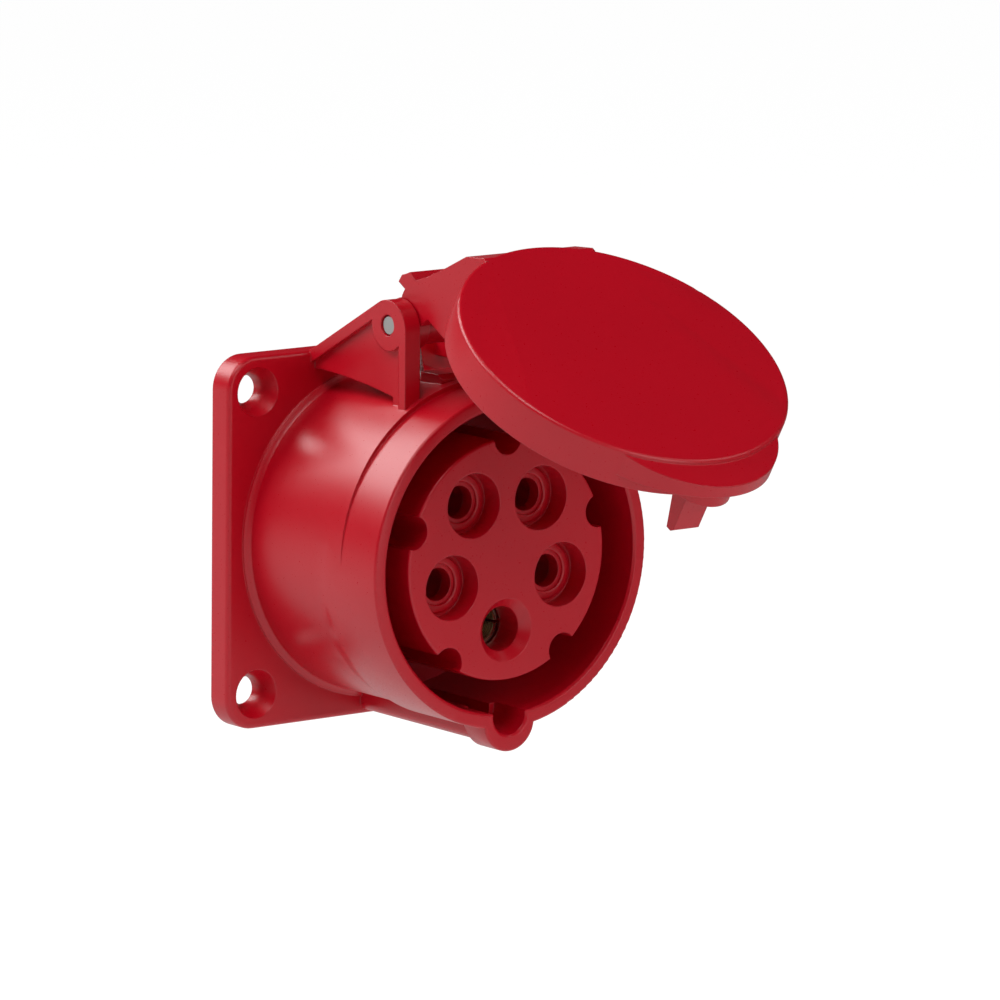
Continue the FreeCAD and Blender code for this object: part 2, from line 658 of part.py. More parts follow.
def lid_spring():
    """Torsion spring round the pin: one leg behind the housing's rest, one in the lid's catch."""
    a = math.radians(90.0 - LID_OPEN_DEG)
    away = math.hypot(CATCH_S, CATCH_H)
    turn = math.atan2(CATCH_H, CATCH_S) - math.acos(COIL_R / away) + a
    y = CATCH_S * math.cos(a) - CATCH_H * math.sin(a)
    z = CATCH_S * math.sin(a) + CATCH_H * math.cos(a)
    centre = pt(0, HINGE_D, HINGE_Z)
    sweep = COIL_TURNS * 2 * math.pi + turn
    count = COIL_TURNS * COIL_SIDES
    back = REST_BEHIND + WIRE_R + FOOT_OFF_REST
    foot_z = SHROUD_R + FOOT_OFF_REST - HINGE_Z
    path = [centre + V(FOOT_IN - REST_HALF, back, foot_z)]
    for k in range(count + 1):
        b = sweep * k / count
        x = 2 * COIL_HALF * k / count - COIL_HALF
        path.append(centre + V(x, COIL_R * math.cos(b), COIL_R * math.sin(b)))
    path.append(centre + V(COIL_HALF, y, z))
    return wire_solid(path)


def hinge_pin():
    """Plain steel pin with broken ends."""
    half = EAR_OUT - PIN_SHORT
    body = cross_bar(PIN_R, -half, half, HINGE_D, HINGE_Z)
    return body.makeChamfer(PIN_CHAMFER, [e for e in body.Edges if e.BoundBox.XLength < NEAR])


def contact_carrier():
    """Insert with five contact holes and five notches in its edge, its back resting on the holder."""
    body = rod(CARRIER_R, SHOULDER_D, CARRIER_FACE)
    body = soften(body, CARRIER_EDGE_R, lambda b: b.YMax < -CARRIER_FACE + NEAR)
    front = CARRIER_FACE + PAST
    for name, (angle, r_in, r_out, r_barrel, sleeve_front) in terminals().items():
        x, z = around(CARRIER_R, angle + 180.0)
        body = body.cut(rod(NOTCH_R, LEDGE_FRONT + NOTCH_SHORT, front, x, z))
        x, z = around(PITCH_R, angle)
        if name == "contact_earth":
            mouth_r = EARTH_MOUTH_R
            floor_d = CARRIER_FACE - EARTH_SINK_DEEP
            body = body.cut(taper(mouth_r, EARTH_SINK_R, floor_d, CARRIER_FACE + NEAR, x, z))
        else:
            mouth_r = LINE_MOUTH_R
            body = body.cut(rod(LINE_SINK_R, CARRIER_FACE - LINE_SINK_DEEP, front, x, z))
        body = body.cut(rod(mouth_r, SHOULDER_D, CARRIER_FACE, x, z))
        body = body.cut(rod(r_out + CHAMBER_CLEAR, SHOULDER_D - PAST, MOUTH_BACK, x, z))
    deep = SHOULDER_D + SCREW_BITE + CHAMBER_CLEAR
    for x in (-BLOCK_SCREW_X, BLOCK_SCREW_X):
        body = body.cut(rod(LONG_SCREW_R + FIT, SHOULDER_D - PAST, deep, x, 0.0))
    return body


def carrier_holder():
    """Flanged disc screwed behind the ledge, which carries the insert and takes the sleeves' barrels."""
    body = rod(CARRIER_R, CARRIER_BACK, SHOULDER_D).fuse(rod(CARRIER_FLANGE_R, CARRIER_BACK, LEDGE_BACK))
    half = ORING_R + ORING_SIDE_CLEAR
    body = body.cut(tube(CARRIER_R + PAST, ORING_GROOVE_R, ORING_D - half, ORING_D + half))
    for angle, r_in, r_out, r_barrel, front in terminals().values():
        x, z = around(PITCH_R, angle)
        body = body.cut(rod(r_barrel + FIT, CARRIER_BACK - PAST, SHOULDER_D + PAST, x, z))
    for angle in SCREW_RING_ANGLES:
        x, z = around(SCREW_RING_R, angle)
        body = body.cut(rod(LONG_SCREW_R + 3 * FIT, CARRIER_BACK - PAST, LEDGE_BACK + PAST, x, z))
    for x in (-BLOCK_SCREW_X, BLOCK_SCREW_X):
        body = body.cut(rod(LONG_SCREW_R + 3 * FIT, CARRIER_BACK - PAST, SHOULDER_D + PAST, x, 0.0))
    return body


def screw_hole(angle, r, from_r, to_r):
    """Radial bar at a contact, from the contact's axis outwards, used for holes and screws."""
    x, z = around(1.0, angle)
    start = pt(0, SCREW_D, 0) + V(x, 0, z) * (PITCH_R + from_r)
    return Part.makeCylinder(r, to_r - from_r, start, V(x, 0, z))


def contact(angle, r_in, r_out, r_barrel, front):
    """Turned sleeve: slotted front with a ring groove, shoulder, and a barrel for the wire."""
    x, z = around(PITCH_R, angle)
    back_rim = front - RING_BEHIND - RING_WIDTH / 2
    front_rim = back_rim + RING_WIDTH
    shoulder = SHOULDER_D - FIT
    body = lathe([(0.0, TERMINAL_END), (r_barrel - TERMINAL_CHAMFER, TERMINAL_END),
                  (r_barrel, TERMINAL_END + TERMINAL_CHAMFER), (r_barrel, shoulder), (r_out, shoulder),
                  (r_out, back_rim), (r_out - RING_GROOVE, back_rim), (r_out - RING_GROOVE, front_rim),
                  (r_out, front_rim), (r_out, front - SLEEVE_CHAMFER), (r_out - SLEEVE_CHAMFER, front),
                  (r_in + SLEEVE_CHAMFER, front), (r_in, front - SLEEVE_LEAD), (r_in, SLEEVE_BORE_BACK),
                  (0.0, SLEEVE_BORE_BACK - r_in / 2)], x, z)
    body = body.cut(rod(WIRE_BORE_R, TERMINAL_END - PAST, TERMINAL_END + WIRE_BORE_DEEP, x, z))
    slot = SLEEVE_SLOT / 2
    back = SLEEVE_BORE_BACK + SLOT_LONG
    wide = r_out + PAST
    body = body.cut(brick(x - wide, x + wide, back, front + PAST, z - slot, z + slot))
    body = body.cut(brick(x - slot, x + slot, back, front + PAST, z - wide, z + wide))
    return body.cut(screw_hole(angle, SCREW_R + FIT, 0.0, r_barrel + PAST))


def contact_ring(angle, r_out, front):
    """Open spring ring that holds the sleeve's fingers together."""
    x, z = around(PITCH_R, angle)
    half = RING_WIDTH / 2 - FIT
    inner = r_out - RING_GROOVE + FIT
    at = front - RING_BEHIND
    body = tube(inner + RING_THICK, inner, at - half, at + half, x, z)
    gap = RING_GAP / 2
    slit = brick(x, x + r_out + 2 * PAST, at - RING_WIDTH, at + RING_WIDTH, z - gap, z + gap)
    slit.rotate(pt(x, 0, z), V(0, 1, 0), 45.0)
    return body.cut(slit)


def terminal_screws():
    """Five clamp screws with slotted heads."""
    screws = []
    for angle, r_in, r_out, r_barrel, front in terminals().values():
        brim = r_barrel + SCREW_LIFT
        top = brim + SCREW_HEAD_HIGH
        screw = screw_hole(angle, SCREW_R, r_barrel - SCREW_REACH, brim + FIT)
        screw = screw.fuse(screw_hole(angle, SCREW_HEAD_R, brim, top))
        x, z = around(PITCH_R + top, angle)
        slot = SCREW_SLOT / 2
        wide = SCREW_HEAD_R + PAST
        cut = brick(x - SCREW_SLOT_DEEP, x + PAST, SCREW_D - wide, SCREW_D + wide, z - slot, z + slot)
        cut.rotate(pt(x, 0, z), V(0, 1, 0), -angle)
        screws.append(screw.removeSplitter().cut(cut))
    return Part.makeCompound(screws)


def terminal_block():
    """Rear moulding round the contacts' barrels, with wire entries and a hole to each clamp screw."""
    body = rod(BLOCK_R, BLOCK_END, CARRIER_BACK)
    body = soften(body, BLOCK_EDGE_R, lambda b: b.YMin > -BLOCK_END - NEAR)
    funnel = BLOCK_END + WIRE_ENTRY_LEAD
    for angle, r_in, r_out, r_barrel, front in terminals().values():
        x, z = around(PITCH_R, angle)
        body = body.cut(rod(r_barrel + FIT, TERMINAL_END - FIT, CARRIER_BACK + PAST, x, z))
        body = body.cut(rod(WIRE_ENTRY_R, BLOCK_END - PAST, TERMINAL_END, x, z))
        body = body.cut(taper(WIRE_ENTRY_R + WIRE_ENTRY_LEAD, WIRE_ENTRY_R, BLOCK_END - NEAR, funnel, x, z))
        body = body.cut(screw_hole(angle, DRIVER_HOLE_R, 0.0, BLOCK_R))
    seat = BLOCK_END + HEAD_RECESS + LONG_HEAD_HIGH
    for x in (-BLOCK_SCREW_X, BLOCK_SCREW_X):
        body = body.cut(rod(LONG_SCREW_R + 3 * FIT, BLOCK_END - PAST, CARRIER_BACK + PAST, x, 0.0))
        body = body.cut(rod(LONG_HEAD_R + 2 * FIT, BLOCK_END - PAST, seat, x, 0.0))
    return body


def long_screw(x, z, head_d, end):
    """Screw with a cross recess: its head lies behind head_d and its tip is at end."""
    back = head_d - LONG_HEAD_HIGH
    brim = back + LONG_HEAD_BRIM
    point = end - LONG_POINT
    body = rod(LONG_HEAD_R, brim, head_d, x, z)
    body = body.fuse(taper(LONG_HEAD_R - LONG_HEAD_BRIM, LONG_HEAD_R, back, brim, x, z))
    body = body.fuse(rod(LONG_SCREW_R, head_d, point, x, z))
    body = body.fuse(taper(LONG_SCREW_R, LONG_POINT_R, point, end, x, z))
    half = HEAD_CROSS / 2
    thin = HEAD_CROSS_THICK / 2
    deep = back + HEAD_CROSS_DEEP
    body = body.cut(brick(x - half, x + half, back - PAST, deep, z - thin, z + thin))
    body = body.cut(brick(x - thin, x + thin, back - PAST, deep, z - half, z + half))
    return body.removeSplitter()


def main():
    """Write every sub-part."""
    os.makedirs("parts", exist_ok=True)
    save("housing", housing())
    save("lid", lid())
    save("lid_seal", lid_seal())
    save("hinge_pin", hinge_pin())
    save("lid_spring", lid_spring())
    save("contact_carrier", contact_carrier())
    save("carrier_seal", Part.makeTorus(ORING_MAJOR_R, ORING_R, pt(0, ORING_D, 0), V(0, 1, 0)))
    spots = [around(SCREW_RING_R, angle) for angle in SCREW_RING_ANGLES]
    screws = [long_screw(x, z, CARRIER_BACK, CARRIER_SCREW_END) for x, z in spots]
    save("carrier_holder", carrier_holder())
    save("carrier_screws", Part.makeCompound(screws))
    save("terminal_block", terminal_block())
    seat = BLOCK_END + HEAD_RECESS + LONG_HEAD_HIGH
    screws = [long_screw(x, 0.0, seat, BLOCK_SCREW_END) for x in (-BLOCK_SCREW_X, BLOCK_SCREW_X)]
    save("block_screws", Part.makeCompound(screws))
    for name, (angle, r_in, r_out, r_barrel, front) in terminals().items():
        save(name, contact(angle, r_in, r_out, r_barrel, front))
        save(name.replace("contact", "ring"), contact_ring(angle, r_out, front))
    save("terminal_screws", terminal_screws())
    save("flange_gasket", tube(GASKET_OUT_R - GASKET_CLEAR, GASKET_IN_R + GASKET_CLEAR, 0.0,
                               GASKET_DEEP - GASKET_CLEAR))


main()
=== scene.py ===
"""Panel socket with a sprung lid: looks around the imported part.

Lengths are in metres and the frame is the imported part's: the socket faces -Y, +Z is up, and the origin
is the centre of the flange's back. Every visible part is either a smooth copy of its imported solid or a
surface worked out with numpy, and each one has a material named for what the real part is made of.
"""
import math

import bpy
import numpy as np
from bpy.props import FloatProperty, FloatVectorProperty, IntProperty, PointerProperty
from mathutils import Matrix, Vector


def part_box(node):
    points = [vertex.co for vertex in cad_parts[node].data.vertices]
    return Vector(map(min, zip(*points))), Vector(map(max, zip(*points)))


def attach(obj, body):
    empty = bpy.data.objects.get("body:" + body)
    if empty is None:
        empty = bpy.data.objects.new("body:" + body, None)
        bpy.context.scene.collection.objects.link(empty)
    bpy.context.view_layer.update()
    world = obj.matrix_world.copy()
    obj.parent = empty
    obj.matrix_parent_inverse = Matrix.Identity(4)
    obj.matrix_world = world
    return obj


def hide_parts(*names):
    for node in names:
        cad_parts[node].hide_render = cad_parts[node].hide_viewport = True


bl_info = {
    "name": "Panel socket looks",
    "version": (1, 0, 0),
    "blender": (4, 5, 0),
    "location": "3D View > Sidebar > Socket",
    "description": "Dresses the packed panel socket and sets its stage",
    "category": "Object",
}

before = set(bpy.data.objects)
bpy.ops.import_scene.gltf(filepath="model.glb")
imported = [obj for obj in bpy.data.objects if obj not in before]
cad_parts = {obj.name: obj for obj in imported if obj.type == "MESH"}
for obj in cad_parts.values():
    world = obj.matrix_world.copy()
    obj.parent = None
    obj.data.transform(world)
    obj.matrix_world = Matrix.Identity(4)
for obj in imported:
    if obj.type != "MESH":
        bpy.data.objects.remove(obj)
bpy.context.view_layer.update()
MM = 0.001

# Edges sharper than these stay sharp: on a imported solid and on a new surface.
SOLID_SHARP = math.radians(32.0)
SURFACE_SHARP = math.radians(40.0)

# The lid stands this far open at rest, in degrees.
LID_OPEN_DEG = 59.56
# Where the spring's end meets the neck, as (y, z) from the pin, with the lid 90 degrees open.
SPRING_CATCH = np.array([4.29, 5.26]) * MM
# Points along each turn of the coil and along each of its legs, how many of them each bend is spread over
# on either side, and the wire's sides.
COIL_STEPS, LEG_STEPS, BEND_SPREAD, WIRE_SIDES = 64, 40, 4, 14
# Points along the arc of the wall in front of the spring.
ARC_STEPS = 24

# Directions of the line and neutral contact holes from the top, in degrees. The fifth hole is at the bottom.
HOLE_DEGREES = (-108.0, -36.0, 36.0, 108.0)
# Points round a collar and along each of its rounded edges.
COLLAR_SIDES, EDGE_STEPS = 72, 7

# Soft boxes: name, azimuth from -Y towards +X and elevation in degrees, and both sides in metres.
SOFT_BOXES = (
    ("back", 216.0, 38.0, (1.25, 0.65)),
    ("top", 300.0, 60.0, (0.6, 0.6)),
    ("front", 4.0, 18.0, (0.7, 0.9)),
    ("right", 50.0, 38.0, (0.6, 0.6)),
)
LAMP_AIM = Vector((0.0, -0.03, 0.01))
LAMP_DISTANCE = 1.3

# The paper's half side; from where to where its painted glow, which stands in for lamp light in reflections,
# falls off towards +X, and what is left of it.
PAPER_REACH = 6.0
LIT_UNTIL, UNLIT_FROM, UNLIT_SHARE = 0.1, 0.7, 0.2
# Strength of the white that the camera sees in the paper, and the paper's share that shows its own white.
PAPER_WHITE, OWN_WHITE = 1.15, 0.85
# Half the height of the soft step at the horizon, as a direction's z.
HORIZON = 0.12

# The photograph's view: direction, roll and distance fitted to the flange, the holes and the rims.
VIEW_AZIMUTH, VIEW_ELEVATION, VIEW_ROLL = (math.radians(v) for v in (-37.8899, 9.8450, 0.6485))
VIEW_TARGET = Vector((18.777, -20.0, 6.011)) * MM
VIEW_DISTANCE = 1501.90 * MM
VIEW_LENS, VIEW_SENSOR = 273.04, 36.0


def linear(code):
    """Linear red, green and blue of an sRGB hex value: each channel is put through the sRGB curve."""
    out = []
    for k in (0, 2, 4):
        c = int(code[k:k + 2], 16) / 255.0
        out.append(c / 12.92 if c <= 0.04045 else ((c + 0.055) / 1.055) ** 2.4)
    return tuple(out)


class SocketColours(bpy.types.PropertyGroup):
    """Colours of the socket's materials."""
    moulding: FloatVectorProperty(name="Moulding", description="Red of the housing, lid and insert",
                                  default=linear("C4001C"), size=3, subtype="COLOR", min=0.0, max=1.0)
    block: FloatVectorProperty(name="Terminal block", description="Dark grey of the terminal block",
                               default=linear("26272A"), size=3, subtype="COLOR", min=0.0, max=1.0)
    rubber: FloatVectorProperty(name="Rubber", description="Black of the seals",
                                default=linear("1B1B1C"), size=3, subtype="COLOR", min=0.0, max=1.0)
    steel: FloatVectorProperty(name="Steel", description="Colour of the pin and the wire",
                               default=linear("C9CAC8"), size=3, subtype="COLOR", min=0.0, max=1.0)
    nickel: FloatVectorProperty(name="Nickel", description="Colour of the plated contacts",
                                default=linear("D2C7B0"), size=3, subtype="COLOR", min=0.0, max=1.0)
    zinc: FloatVectorProperty(name="Zinc", description="Colour of the plated screws",
                              default=linear("C4C8CC"), size=3, subtype="COLOR", min=0.0, max=1.0)


class SocketSpring(bpy.types.PropertyGroup):
    """Sizes of the lid's spring."""
    wire: FloatProperty(name="Wire radius", description="Radius of the spring's wire",
                        default=0.5 * MM, unit="LENGTH", precision=5)
    coil: FloatProperty(name="Coil radius", description="Radius of the coil at the wire's centre",
                        default=3.3 * MM, unit="LENGTH", precision=5)
    half: FloatProperty(name="Half length", description="Half of the coil's length along the pin",
                        default=8.2 * MM, unit="LENGTH", precision=5)
    turns: IntProperty(name="Turns", description="Whole turns of the coil", default=8, min=1, max=20)
    foot: FloatProperty(name="Foot", default=6.0 * MM, unit="LENGTH", precision=5,
                        description="How far left of the middle the foot stands behind the rest")


class SocketCover(bpy.types.PropertyGroup):
    """Sizes of the lid's wall in front of the spring."""
    inner: FloatProperty(name="Inner radius", description="Inner radius of the wall about the pin",
                         default=4.0 * MM, unit="LENGTH", precision=5)
    thick: FloatProperty(name="Thickness", description="Thickness of the wall",
                         default=0.5 * MM, unit="LENGTH", precision=5)
    first: FloatProperty(name="First angle", description="Where the arc starts, turned from +Y towards +Z",
                         default=math.radians(176.0), subtype="ANGLE", unit="ROTATION")
    last: FloatProperty(name="Last angle", description="Where the arc ends, under the coil",
                        default=math.radians(242.0), subtype="ANGLE", unit="ROTATION")
    top: FloatVectorProperty(name="Top", description="Where the wall meets the neck, as (y, z) from the pin",
                             default=(-3.4 * MM, 6.3 * MM), size=2, unit="LENGTH", precision=5)
    half: FloatProperty(name="Half length", default=10.85 * MM, unit="LENGTH", precision=5,
                        description="How far the wall runs left of the middle, to the lug")
    room: FloatProperty(name="Room", description="Room between the wall's right end and the spring's end",
                        default=0.4 * MM, unit="LENGTH", precision=5)


class SocketCollar(bpy.types.PropertyGroup):
    """Sizes of the low collars round the line and neutral contact holes."""
    pitch: FloatProperty(name="Pitch radius", description="Radius of the circle that the holes stand on",
                         default=13.97 * MM, unit="LENGTH", precision=5)
    floor: FloatProperty(name="Floor", default=41.63 * MM, unit="LENGTH", precision=5,
                         description="How far the sunk floor lies in front of the flange's back")
    inner: FloatProperty(name="Inner radius", description="Inner radius of a collar",
                         default=4.0 * MM, unit="LENGTH", precision=5)
    outer: FloatProperty(name="Outer radius", description="Outer radius of a collar",
                         default=5.7 * MM, unit="LENGTH", precision=5)
    high: FloatProperty(name="Height", description="Height of a collar over its floor",
                        default=0.5 * MM, unit="LENGTH", precision=5)
    root: FloatProperty(name="Root", description="How deep a collar stands in its floor",
                        default=0.05 * MM, unit="LENGTH", precision=5)
    edge: FloatProperty(name="Edge", description="Radius of a collar's edges as a share of its height",
                        default=0.8, min=0.0, max=1.0, subtype="FACTOR")


class SocketStage(bpy.types.PropertyGroup):
    """Sizes and levels of the stage."""
    floor: FloatProperty(name="Floor", description="Height of the floor", default=-0.16, unit="LENGTH")
    back_watts: FloatProperty(name="Back light", default=14.5, min=0.0,
                              description="Power of the wide soft light behind on the left")
    top_watts: FloatProperty(name="Top light", description="Power of the soft light above the camera",
                             default=6.5, min=0.0)
    front_watts: FloatProperty(name="Front light", description="Power of the soft light in front",
                               default=4.6, min=0.0)
    right_watts: FloatProperty(name="Right light", description="Power of the soft light on the right",
                               default=2.0, min=0.0)
    sky: FloatProperty(name="Sky", description="Strength of the dim light from above", default=0.03, min=0.0)
    ground: FloatProperty(name="Ground", description="Strength of the white from below", default=0.7, min=0.0)


# Materials

def add(tree, kind, inputs=None, **settings):
    """Add a node: settings are its own attributes; an input takes a value or another node's socket."""
    node = tree.nodes.new(kind)
    for name, value in settings.items():
        setattr(node, name, value)
    for name, value in (inputs or {}).items():
        if isinstance(value, bpy.types.NodeSocket):
            tree.links.new(value, node.inputs[name])
        else:
            node.inputs[name].default_value = value
    return node


def blank(name):
    """An empty node material with its output."""
    material = bpy.data.materials.new(name)
    material.use_nodes = True
    material.node_tree.nodes.clear()
    out = add(material.node_tree, "ShaderNodeOutputMaterial")
    return material, material.node_tree, out


def shade(tree, low, high, factor):
    """Colour between two colours by a factor socket."""
    mix = add(tree, "ShaderNodeMix", data_type="RGBA")
    tree.links.new(factor, mix.inputs["Factor"])
    mix.inputs["A"].default_value = (*low, 1.0)
    mix.inputs["B"].default_value = (*high, 1.0)
    return mix.outputs["Result"]


def moulded_polyamide(name, colour, rough, grain_mm, depth_mm, edge_mm):
    """Injection-moulded polyamide: even colour with a faint flow cloud about 18 mm across, a fine
    spark-eroded grain that spreads the highlights, and corners rounded as a moulding's are. The real
    grain is finer and is drawn as coarse as it needs to show."""
    material, tree, out = blank(name)
    place = add(tree, "ShaderNodeTexCoord").outputs["Object"]
    cloud = add(tree, "ShaderNodeTexNoise", {"Vector": place, "Scale": 55.0, "Detail": 2.0,
                                             "Roughness": 0.5})
    dark = tuple(c * 0.93 for c in colour)
    base = shade(tree, dark, colour, cloud.outputs["Fac"])
    grain = add(tree, "ShaderNodeTexNoise", {"Vector": place, "Scale": 1.0 / (grain_mm * MM), "Detail": 3.0,
                                             "Roughness": 0.6})
    spread = add(tree, "ShaderNodeMapRange", {"Value": grain.outputs["Fac"], "From Min": 0.3, "From Max": 0.7,
                                              "To Min": rough - 0.05, "To Max": rough + 0.06})
    corner = add(tree, "ShaderNodeBevel", {"Radius": edge_mm * MM}, samples=6)
    bump = add(tree, "ShaderNodeBump", {"Height": grain.outputs["Fac"], "Distance": depth_mm * MM,
                                        "Strength": 0.6, "Normal": corner.outputs["Normal"]})
    shader = add(tree, "ShaderNodeBsdfPrincipled", {"Base Color": base, "Roughness": spread.outputs["Result"],
                                                    "Normal": bump.outputs["Normal"], "IOR": 1.53})
    tree.links.new(shader.outputs["BSDF"], out.inputs["Surface"])
    return material


def moulded_rubber(name, colour):
    """Moulded nitrile rubber: near black and dull, with a faint bloom in spots of 2.5 mm."""
    material, tree, out = blank(name)
    place = add(tree, "ShaderNodeTexCoord").outputs["Object"]
    bloom = add(tree, "ShaderNodeTexNoise", {"Vector": place, "Scale": 400.0, "Detail": 4.0})
    pale = tuple(c + 0.012 for c in colour)
    base = shade(tree, colour, pale, bloom.outputs["Fac"])
    bump = add(tree, "ShaderNodeBump", {"Height": bloom.outputs["Fac"], "Distance": 0.05 * MM,
                                        "Strength": 0.4})
    shader = add(tree, "ShaderNodeBsdfPrincipled", {"Base Color": base, "Roughness": 0.72,
                                                    "Normal": bump.outputs["Normal"], "IOR": 1.52})
    tree.links.new(shader.outputs["BSDF"], out.inputs["Surface"])
    return material


def worked_metal(name, colour, rough, line_mm, axis):
    """Drawn or turned metal: tool lines a fraction of a millimetre apart across one axis, which break
    the reflections up along it. The real lines are finer and are drawn as coarse as they need to show."""
    material, tree, out = blank(name)
    place = add(tree, "ShaderNodeTexCoord").outputs["Object"]
    # Along a line the tone changes over about 17 mm.
    scale = [60.0] * 3
    scale[axis] = 1.0 / (line_mm * MM)
    lines = add(tree, "ShaderNodeMapping", {"Vector": place, "Scale": scale})
    noise = add(tree, "ShaderNodeTexNoise", {"Vector": lines.outputs["Vector"], "Scale": 1.0, "Detail": 3.0})
    dull = tuple(c * 0.86 for c in colour)
    base = shade(tree, dull, colour, noise.outputs["Fac"])
    spread = add(tree, "ShaderNodeMapRange", {"Value": noise.outputs["Fac"], "From Min": 0.3, "From Max": 0.7,
                                              "To Min": rough - 0.06, "To Max": rough + 0.08})
    bump = add(tree, "ShaderNodeBump", {"Height": noise.outputs["Fac"], "Distance": 0.02 * MM,
                                        "Strength": 0.5})
    shader = add(tree, "ShaderNodeBsdfPrincipled", {"Base Color": base, "Roughness": spread.outputs["Result"],
                                                    "Metallic": 1.0, "Normal": bump.outputs["Normal"]})
    tree.links.new(shader.outputs["BSDF"], out.inputs["Surface"])
    return material


def get_material(name):
    """The named material, made on first use from the scene's colours."""
    if name in bpy.data.materials:
        return bpy.data.materials[name]
    hue = bpy.context.scene.socket_colours
    makers = {
        "red moulded polyamide": lambda: moulded_polyamide(
            name, tuple(hue.moulding), rough=0.32, grain_mm=0.45, depth_mm=0.006, edge_mm=0.35),
        "grey moulded polyamide": lambda: moulded_polyamide(
            name, tuple(hue.block), rough=0.45, grain_mm=0.4, depth_mm=0.02, edge_mm=0.3),
        "moulded nitrile rubber": lambda: moulded_rubber(name, tuple(hue.rubber)),
        "drawn stainless steel": lambda: worked_metal(
            name, tuple(hue.steel), rough=0.33, line_mm=0.25, axis=0),
        "spring wire": lambda: worked_metal(name, tuple(hue.steel), rough=0.28, line_mm=0.3, axis=2),
        "turned nickel-plated brass": lambda: worked_metal(
            name, tuple(hue.nickel), rough=0.25, line_mm=0.22, axis=1),
        "zinc-plated steel": lambda: worked_metal(name, tuple(hue.zinc), rough=0.35, line_mm=0.5, axis=1),
    }
    return makers[name]()


# Pieces

def smooth_copy(node, name, material, body):
    """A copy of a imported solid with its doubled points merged, shaded smooth except across its sharp
    edges. It rides on the solid's body and stands for it."""
    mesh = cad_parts[node].data.copy()
    mesh.name = name
    mesh.materials.clear()
    piece = bpy.data.objects.new(name, mesh)
    bpy.context.scene.collection.objects.link(piece)
    merge = piece.modifiers.new("merge", "WELD")
    merge.merge_threshold = 0.0005 * MM
    graph = bpy.context.evaluated_depsgraph_get()
    merged = bpy.data.meshes.new_from_object(piece.evaluated_get(graph))
    piece.modifiers.clear()
    piece.data = merged
    merged.name = name
    if "custom_normal" in merged.attributes:
        merged.attributes.remove(merged.attributes["custom_normal"])
    merged.shade_smooth()
    merged.set_sharp_from_angle(angle=SOLID_SHARP)
    merged.materials.append(get_material(material))
    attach(piece, body)
    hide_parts(node)
    return piece


def tube_mesh(name, path, radius, sides):
    """Round wire along a path of points. With t the path's direction, a = t x X and b = t x a, both of
    unit length, the surface is P(u, v) = path(u) + radius (a cos v + b sin v). A fan closes each end."""
    run = np.gradient(path, axis=0)
    run /= np.linalg.norm(run, axis=1, keepdims=True)
    a = np.cross(run, np.array([1.0, 0.0, 0.0]))
    a /= np.linalg.norm(a, axis=1, keepdims=True)
    b = np.cross(run, a)
    v = np.linspace(0.0, 2.0 * np.pi, sides, endpoint=False)
    rings = path[:, None, :] + radius * (a[:, None, :] * np.cos(v)[None, :, None]
                                         + b[:, None, :] * np.sin(v)[None, :, None])
    count = len(path)
    points = np.concatenate([rings.reshape(-1, 3), path[:1], path[-1:]])
    i, j = np.meshgrid(np.arange(count - 1), np.arange(sides), indexing="ij")
    k = (j + 1) % sides
    quads = np.stack([i * sides + j, i * sides + k, (i + 1) * sides + k, (i + 1) * sides + j], -1)
    n = np.arange(sides)
    m = (n + 1) % sides
    first = np.stack([np.full(sides, count * sides), m, n], -1)
    end = (count - 1) * sides
    last = np.stack([np.full(sides, count * sides + 1), end + n, end + m], -1)
    faces = quads.reshape(-1, 4).tolist() + first.tolist() + last.tolist()
    mesh = bpy.data.meshes.new(name)
    mesh.from_pydata(points.tolist(), [], faces)
    mesh.shade_smooth()
    return mesh


def rounded(path, spread):
    """Path with its corners rounded: each point becomes the weighted mean of those within a spread of it,
    with weights that fall off as a raised cosine."""
    weights = np.hanning(2 * spread + 1)
    weights /= weights.sum()
    padded = np.concatenate([np.repeat(path[:1], spread, 0), path, np.repeat(path[-1:], spread, 0)])
    return np.stack([np.convolve(padded[:, c], weights, "valid") for c in range(3)], -1)


def swept_mesh(name, section, left, right):
    """Bar along X with a closed section of (y, z) points: P(x, k) = (x, section k) for x = left and right,
    with both ends closed."""
    n = len(section)
    ends = [np.column_stack([np.full(n, x), section]) for x in (left, right)]
    k = np.arange(n)
    m = (k + 1) % n
    sides = np.stack([k, m, m + n, k + n], -1).tolist()
    mesh = bpy.data.meshes.new(name)
    mesh.from_pydata(np.concatenate(ends).tolist(), [], sides + [k[::-1].tolist(), (k + n).tolist()])
    mesh.shade_smooth()
    mesh.set_sharp_from_angle(angle=SURFACE_SHARP)
    return mesh


def turned_mesh(name, section, centres, sides):
    """Rings about -Y: a closed section of (radius, forward) points is turned round each centre (x, z), so
    P(u, k) = (x + r_k cos u, -forward_k, z + r_k sin u)."""
    n = len(section)
    u = np.linspace(0.0, 2.0 * np.pi, sides, endpoint=False)
    i, j = np.meshgrid(np.arange(sides), np.arange(n), indexing="ij")
    p, q = (i + 1) % sides, (j + 1) % n
    quads = np.stack([i * n + j, p * n + j, p * n + q, i * n + q], -1).reshape(-1, 4)
    points = []
    faces = []
    for number, (x, z) in enumerate(centres):
        ring = np.stack([x + section[None, :, 0] * np.cos(u)[:, None],
                         np.broadcast_to(-section[None, :, 1], (sides, n)),
                         z + section[None, :, 0] * np.sin(u)[:, None]], -1)
        points.append(ring.reshape(-1, 3))
        faces.append(quads + number * sides * n)
    mesh = bpy.data.meshes.new(name)
    mesh.from_pydata(np.concatenate(points).tolist(), [], np.concatenate(faces).tolist())
    mesh.shade_smooth()
    mesh.set_sharp_from_angle(angle=SURFACE_SHARP)
    return mesh


